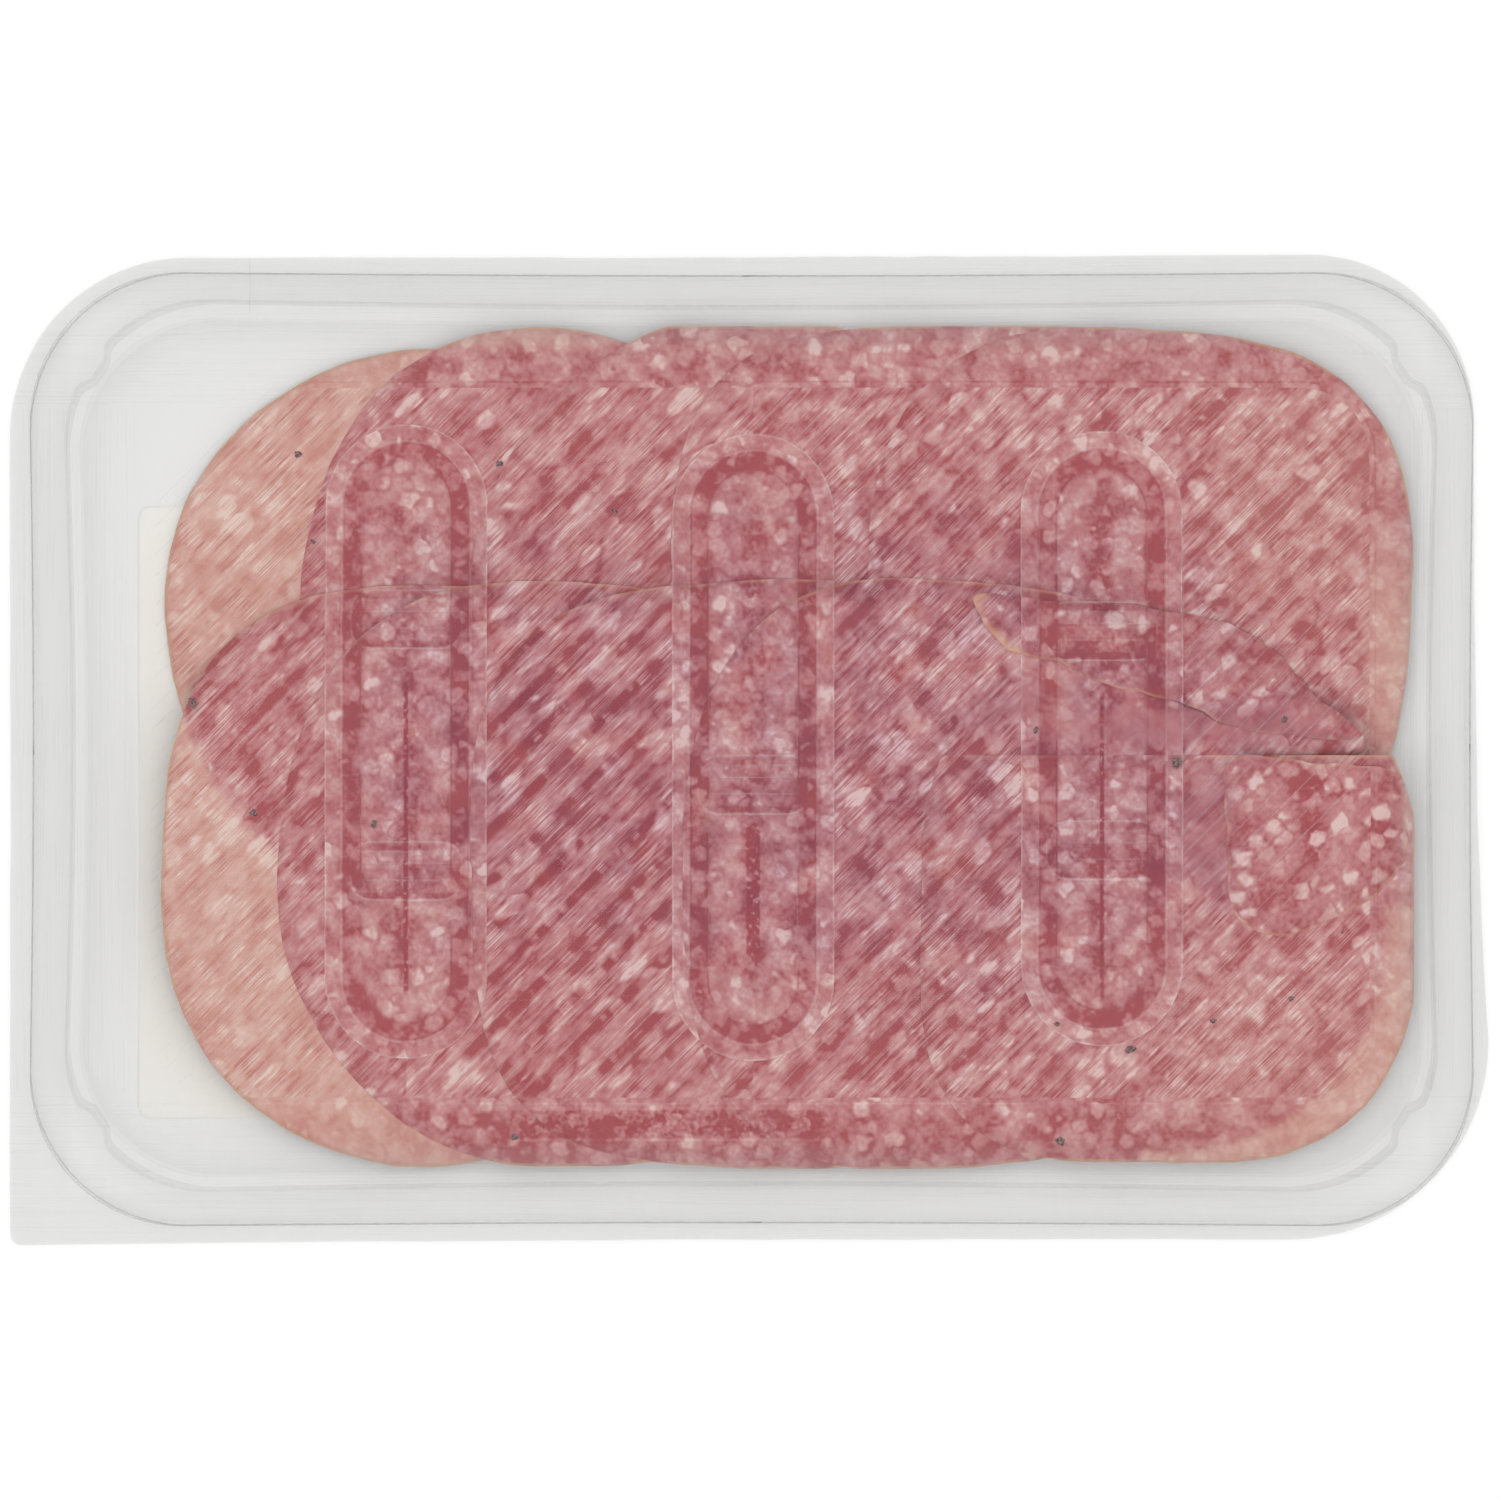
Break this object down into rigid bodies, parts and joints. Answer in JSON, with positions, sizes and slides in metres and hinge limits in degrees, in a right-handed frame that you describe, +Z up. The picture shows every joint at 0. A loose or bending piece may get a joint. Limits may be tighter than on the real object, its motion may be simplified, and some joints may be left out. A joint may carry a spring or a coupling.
{
  "type": "sealed pack of sliced salami",
  "caption": "Shallow clear plastic tray, ribbed on its base, sealed with clear film over fanned slices of fat-flecked cured meat. It lies film side down, with a blank label under the film.",
  "frame": {"origin": "middle of the underside of the pack's box, where it lies on its film and label", "axes": "+X along the pack's length to the right as the tray's base is looked down on with the peeling tab at the lower left, +Y across it towards the top, +Z up out of the tray's base"},
  "size_m": [0.2, 0.134, 0.0106],
  "materials": {
    "tray_plastic": "clear, glossy, faintly grey",
    "lid_film": "clear film, glossy",
    "label_paper": "matt white",
    "cured_meat": "moist, satin"
  },
  "bodies": {
    "root": {"label": "label_paper", "film": "lid_film", "tray": "tray_plastic", "slice_upper_1": "cured_meat", "slice_upper_2": "cured_meat", "slice_upper_3": "cured_meat", "slice_upper_4": "cured_meat", "slice_upper_5": "cured_meat", "slice_lower_1": "cured_meat", "slice_lower_2": "cured_meat", "slice_lower_3": "cured_meat", "slice_lower_4": "cured_meat", "slice_lower_5": "cured_meat", "slice_flap_1": "cured_meat", "slice_flap_2": "cured_meat"}
  },
  "joints": []
}
